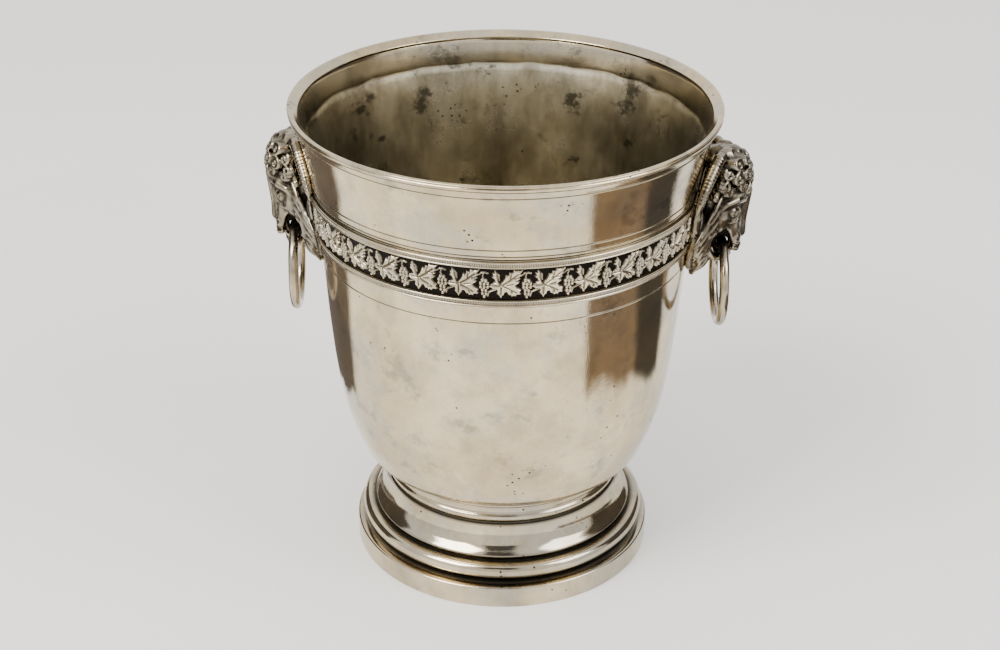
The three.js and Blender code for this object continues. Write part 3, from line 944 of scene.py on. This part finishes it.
def sculpt_wool(clay):
    """Thick hooked locks piled over the forehead, and the ear below them."""
    # each row is (x, z, size, every y)
    rows = ((112.0, 192.6, 2.9, (0.1, 5.0)), (109.6, 195.6, 2.9, (8.6,)),
            (113.0, 197.2, 3.1, (2.8,)), (110.9, 200.4, 3.0, (7.4,)),
            (107.0, 199.6, 2.9, (11.6,)), (112.2, 202.4, 3.1, (0.1,)),
            (110.2, 205.6, 3.0, (4.6,)), (106.6, 205.4, 3.0, (9.4,)),
            (107.0, 209.0, 2.9, (0.1,)), (103.6, 209.4, 2.8, (5.0,)),
            (103.4, 193.8, 2.7, (13.0,)), (102.4, 202.6, 2.8, (13.4,)),
            (101.0, 197.6, 2.8, (15.2,)))
    for row, (x, z, size, ys) in enumerate(rows):
        for y in ys:
            outward = (1.2, y / 10.0, (z - 197) / 13)
            clay.egg((x - 3.0, y * 0.96, z), (2.4, 2.7, 2.7), 1.6)
            clay.curl((x - 1.0, y, z), outward, size * 0.98, 1.15, row * 1.9)
    # the ear is folded back under the horn
    clay.egg((95.5, 17.5, 194.0), (3.0, 5.2, 2.9), 0.9)
    clay.dent((97.6, 18.2, 193.6), (1.8, 3.8, 1.5), 0.6)


def sculpt_mane(clay):
    """Wavy strands that sweep back from cheek and chin, and taper down on the wall."""
    cheek_strands = 10
    for strand in range(cheek_strands):
        t = strand / (cheek_strands - 1)
        sway = 0.9 * (-1) ** strand
        top = (98.2 - 3 * t, 13.4 + 2.0 * math.sin(t * 3), 190.5 - 25 * t)
        knee = (95.4 - 2.2 * t, 17.0 - 1.0 * t + sway, 185.5 - 22 * t)
        bend = (92.2 - 2.0 * t, 20.5 - 3.5 * t - sway, 179.5 - 20 * t)
        tip = (87.4, 26.5 - 15.0 * t, 173.0 - 22.0 * t)
        points = curve_through([top, knee, bend, tip], 5)
        clay.rod(points, list(np.linspace(1.5, 0.6, len(points))), 0.12)
    chin_strands = 4
    for strand in range(chin_strands):
        t = strand / (chin_strands - 1)
        points = curve_through([(96 - 2 * t, 3 + 5 * t, 158.5), (91.5, 4 + 7 * t, 154.5 + t),
                                (86.4, 2.5 + 8.5 * t, 150.6 + t)], 5)
        clay.rod(points, list(np.linspace(1.9, 0.8, len(points))), 0.3)


def groove_round(clay, centre, along, radius, depth):
    """A groove of the given depth cut round a horn, square to its direction."""
    block = clay.block(centre, radius + 1.5)
    offset = [axis[block] - c for axis, c in zip((clay.x, clay.y, clay.z), centre)]
    height = sum(o * a for o, a in zip(offset, along))
    away = np.sqrt(np.maximum(sum(o * o for o in offset) - height ** 2, 0))
    clay.cut(block, np.hypot(height, away - radius) - depth, 0.25)


def clear_for_ring(clay):
    """Opens the mouth and keeps clear of every place the ring swings through."""
    everything = (slice(None),) * 3
    dx, dz = clay.x - PIVOT[0], clay.z - PIVOT[1]
    slot_x, slot_z = MOUTH_SLOT
    t = np.clip((dx * slot_x + dz * slot_z) / (slot_x ** 2 + slot_z ** 2), 0, 1)
    mouth = np.hypot(dx - slot_x * t, dz - slot_z * t) - MOUTH_RADIUS
    clay.cut(everything, np.maximum(mouth, TONGUE - clay.y), 0.8)
    reach = np.hypot(dx, dz)
    clay.cut(everything, reach - RING_WIRE - 0.25, 0.1)
    swung = np.degrees(np.arctan2(dx, -dz))
    tube = np.abs(np.hypot(reach - RING_RADIUS, clay.y) - RING_RADIUS) - RING_WIRE - 0.5
    beyond = 9.0
    swept = np.where((swung > SWING[0]) & (swung < SWING[1]), tube, beyond)
    clay.cut(everything, swept, 0.3)


def fit_to_wall(clay, standoff):
    """Cuts the back to the wall, the frieze and its borders with a hair's gap."""
    radius = np.hypot(clay.x + standoff, clay.y)
    wall = wall_radius(clay.z) + WALL_GAP
    band = (clay.z > FRIEZE_LOW - 0.4) & (clay.z < FRIEZE_HIGH + 0.4)
    near_strip = band & (clay.y > FRIEZE_END - 0.5)
    wall = wall + np.where(near_strip, FRIEZE_STANDS_OUT, 0.0)
    return np.maximum(clay.field, wall - radius)


def make_mask(name, side, clay, node):
    """The whole mask from the half that was sculpted, turned round for the left side."""
    standoff = side * MASK_STANDOFF
    half = fit_to_wall(clay, standoff)[:, OVERLAP:, :]
    whole = np.concatenate([half[:, :0:-1], half], axis=1).astype(np.float32)
    grid = vdb.FloatGrid(background=FAR)
    grid.copyFromArray(whole)
    points, quads = grid.convertToQuads(isovalue=0)
    where = np.round(points).astype(int)
    origin = np.array([clay.low[0], -(half.shape[1] - 1) * VOXEL, clay.low[2]])
    verts = points * VOXEL + origin
    verts[:, 0] += standoff
    eased = relaxed(np.column_stack([verts, recesses(whole, where)]), quads, 4)
    verts, hollow = eased[:, :3], eased[:, 3]
    # the hollows take tarnish and painted shade, and the mouth is filled with painted shadow round
    # the ring
    mouth = np.hypot(verts[:, 0] - PIVOT[0] - MOUTH_SHADE[0] - standoff,
                     (verts[:, 2] - PIVOT[1] - MOUTH_SHADE[1]) * 0.75)
    dirt_and_shade = np.maximum(hollow, np.clip(MOUTH_SHADE_REACH - mouth, 0, 1))
    if side < 0:
        verts[:, :2] *= -1
    piece = add_mesh(name, verts, quads[:, ::-1], {"dirt_and_shade": dirt_and_shade})
    finished(piece, MASK_SILVER, "bucket", node)


def relaxed(values, quads, rounds):
    """Rows of values at the vertices, eased towards their neighbours' values."""
    starts = quads.ravel()
    ends = np.roll(quads, -1, axis=1).ravel()
    size = len(values)
    count = np.bincount(starts, minlength=size) + np.bincount(ends, minlength=size)
    for _ in range(rounds):
        total = np.stack([np.bincount(starts, column[ends], size)
                          + np.bincount(ends, column[starts], size)
                          for column in values.T], -1)
        values = values + 0.5 * (total / count[:, None] - values)
    return values


def recesses(field, where):
    """How far each spot lies in a hollow, from how much metal there is around it."""
    size = 3
    solid = (field < 0).astype(np.float32)
    total = solid
    for axis in range(3):
        padding = [(size + 1, size) if k == axis else (0, 0) for k in range(3)]
        summed = np.cumsum(np.pad(total, padding, mode="edge"), axis=axis)
        upper = np.take(summed, range(2 * size + 1, summed.shape[axis]), axis=axis)
        lower = np.take(summed, range(0, summed.shape[axis] - 2 * size - 1), axis=axis)
        total = (upper - lower) / (2 * size + 1)
    x, y, z = np.clip(where, 0, np.array(total.shape) - 1).T
    return np.clip((total[x, y, z] - 0.44) / 0.12, 0, 1)


head = sculpt_head()
clear_for_ring(head)
for side, word in ((1, "right"), (-1, "left")):
    make_mask("ram_head_" + word, side, head, "ram_mask_" + word)

# ---- rings and fixings -----------------------------------

RING_TWIST = math.radians(5)      # both hang a little askew in their loose mouths
RING_AROUND = 160
RING_ACROSS = 28


def make_ring(name, side, body, node):
    """A ring of round wire, a little worn with use."""
    u, v = np.meshgrid(np.arange(RING_AROUND) * 2 * np.pi / RING_AROUND,
                       np.arange(RING_ACROSS) * 2 * np.pi / RING_ACROSS, indexing="ij")
    wear = np.array([noise.noise(Vector((math.cos(a) * 2.2, math.sin(a) * 2.2, math.cos(b) * 0.6)))
                     for a, b in zip(u.ravel(), v.ravel())]).reshape(u.shape)
    wire = RING_WIRE * (1 + 0.035 * wear) - 0.04
    away = RING_RADIUS + wire * np.cos(v)
    out = wire * np.sin(v)
    aside = away * np.sin(u)
    x = out * math.cos(RING_TWIST) - side * aside * math.sin(RING_TWIST)
    y = aside * math.cos(RING_TWIST) + side * out * math.sin(RING_TWIST)
    z = -RING_RADIUS + away * np.cos(u)
    pivot = PIVOT[0] + side * MASK_STANDOFF
    verts = np.stack([side * (pivot + x), y, PIVOT[1] + z], -1).reshape(-1, 3)
    # painted shadow darkens the top of the ring where it hangs in the mouth, and uneven tarnish
    # follows the wear
    dirt_and_shade = 0.5 * np.clip(np.cos(u) * 6 - 5, 0, 1) + 0.45 * np.clip(-wear * 2.2, 0, 1)
    faces = grid_faces(RING_AROUND, RING_ACROSS, True, True)
    if side < 0:
        faces = faces[:, ::-1]
    ring = add_mesh(name, verts, faces, {"dirt_and_shade": dirt_and_shade})
    finished(ring, RING_SILVER, body, node)


STUD_HEIGHT = 197.0
STUD_TILT = 0.113            # the wall leans out by this angle at the stud
STUD_RADIUS = 2.0
STUD_SEGMENTS = 72
NUT_FLATS = 7.3


def on_stud(name, side, outline, shape, node):
    """A piece on a mask's stud. The outline is (radius, distance out)."""
    outline = np.array(outline)
    angles = np.linspace(0, 2 * np.pi, STUD_SEGMENTS, endpoint=False)[:, None]
    radius = shape(angles, outline[:, 0])
    out = np.broadcast_to(outline[:, 1], radius.shape)
    y, up = radius * np.cos(angles), radius * np.sin(angles)
    x = out * math.cos(STUD_TILT) + up * math.sin(STUD_TILT)
    z = up * math.cos(STUD_TILT) - out * math.sin(STUD_TILT)
    middle = float(wall_radius(STUD_HEIGHT)) - WALL / 2
    verts = np.stack([side * (middle + x), side * y, STUD_HEIGHT + z], -1).reshape(-1, 3)
    faces = grid_faces(STUD_SEGMENTS, len(outline), True, True)
    piece = add_mesh(name, verts, faces, {"dirt_and_shade": np.zeros(len(verts))}, sharp=35)
    finished(piece, FIXING_BRASS, "bucket", node)


def six_sided(angles, radii):
    """Keeps a radius inside the nut's hexagon."""
    flat = NUT_FLATS / 2 / np.cos((angles + np.pi / 6) % (np.pi / 3) - np.pi / 6)
    return np.minimum(flat, radii)


def round_section(angles, radii):
    return np.broadcast_to(radii, (len(angles), len(radii)))


for side, word in ((1, "right"), (-1, "left")):
    washer_in = -WALL / 2 - 0.3
    on_stud("washer_" + word, side, [
        (2.3, washer_in), (4.8, washer_in), (5, washer_in - 0.2), (5, washer_in - 0.8),
        (4.8, washer_in - 1), (2.3, washer_in - 1)], round_section, "mask_washer_" + word)
    nut_in = washer_in - 1.3
    on_stud("nut_" + word, side, [
        (2.3, nut_in - 0.3), (2.6, nut_in), (3.7, nut_in), (4.2, nut_in - 0.35),
        (4.2, nut_in - 2.65), (3.7, nut_in - 3), (2.6, nut_in - 3), (2.3, nut_in - 2.7)],
        six_sided, "mask_nut_" + word)
    thread = [(STUD_RADIUS - 0.18 * (turn % 2), -7.2 + 0.35 * turn) for turn in range(22)]
    on_stud("stud_" + word, side, [(0.01, -7.6), (1.6, -7.6), *thread, (2, 8.8), (0.01, 8.8)],
            round_section, "mask_stud_" + word)

for side, word in ((1, "right"), (-1, "left")):
    make_ring("ring_" + word, side, word + "_ring", "ring_handle_" + word)
